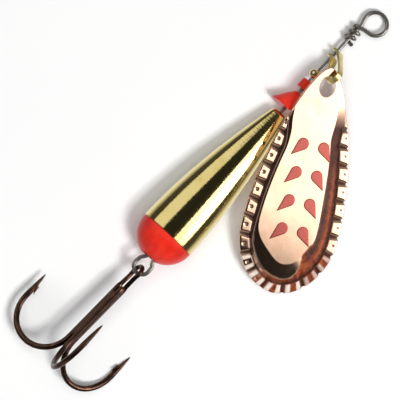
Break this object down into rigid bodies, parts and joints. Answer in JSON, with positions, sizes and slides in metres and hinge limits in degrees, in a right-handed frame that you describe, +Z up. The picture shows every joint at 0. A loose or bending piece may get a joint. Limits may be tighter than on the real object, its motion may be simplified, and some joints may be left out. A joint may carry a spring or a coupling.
{
  "type": "inline spinner",
  "caption": "Inline spinner fishing lure: a blade on a clevis, beads, a cone and a weighted drop body on one steel shaft wire, with a line eye and a treble hook.",
  "frame": {"origin": "middle of the bounding box on the table that the lure lies on", "axes": "+X along the lure towards the line eye, +Y across it away from the blade, +Z up from the table; the shaft wire itself slopes down 4.5 degrees towards the line eye"},
  "size_m": [0.0804, 0.0338, 0.019],
  "materials": {
    "stainless_wire": "satin",
    "gold_plate": "polished",
    "copper_plate": "polished",
    "clevis_brass": "satin",
    "red_plastic": "gloss",
    "bronzed_steel": "gloss"
  },
  "bodies": {
    "shaft": {"shaft_wire": "stainless_wire"},
    "clevis": {"clevis": "clevis_brass"},
    "blade": {"blade": "copper_plate"},
    "bead": {"brass_bead": "clevis_brass"},
    "tube": {"tube_bead": "red_plastic"},
    "cone": {"cone_spacer": "red_plastic"},
    "weight": {"drop_body": "gold_plate", "tail_cap": "red_plastic"},
    "treble": {"treble_double_hook": "bronzed_steel", "treble_single_hook": "bronzed_steel"}
  },
  "joints": [
    {"name": "clevis_spin", "type": "hinge", "parent": "shaft", "child": "clevis", "pos_m": [0.02961, 0.00613, 0.00205], "axis": [0.9969, 0, -0.0789], "continuous": true},
    {"name": "blade_swing", "type": "hinge", "parent": "clevis", "child": "blade", "pos_m": [0.02675, 0.00393, 0.00585], "axis": [0.0415, 0.8508, 0.5239], "range_deg": [0, 120]},
    {"name": "stack_slide", "type": "slide", "parent": "shaft", "child": "bead", "axis": [0.9969, 0, -0.0789], "range_m": [0, 0.002]},
    {"name": "tube_spin", "type": "hinge", "parent": "bead", "child": "tube", "pos_m": [0.02961, 0.00613, 0.00205], "axis": [0.9969, 0, -0.0789], "continuous": true},
    {"name": "cone_spin", "type": "hinge", "parent": "bead", "child": "cone", "pos_m": [0.02961, 0.00613, 0.00205], "axis": [0.9969, 0, -0.0789], "continuous": true},
    {"name": "weight_spin", "type": "hinge", "parent": "bead", "child": "weight", "pos_m": [0.02961, 0.00613, 0.00205], "axis": [0.9969, 0, -0.0789], "continuous": true},
    {"name": "hook_swing", "type": "hinge", "parent": "shaft", "child": "treble", "pos_m": [-0.0189, 0.00565, 0.00589], "axis": [0.0262, 0.9997, 0], "range_deg": [-100, 100]}
  ]
}
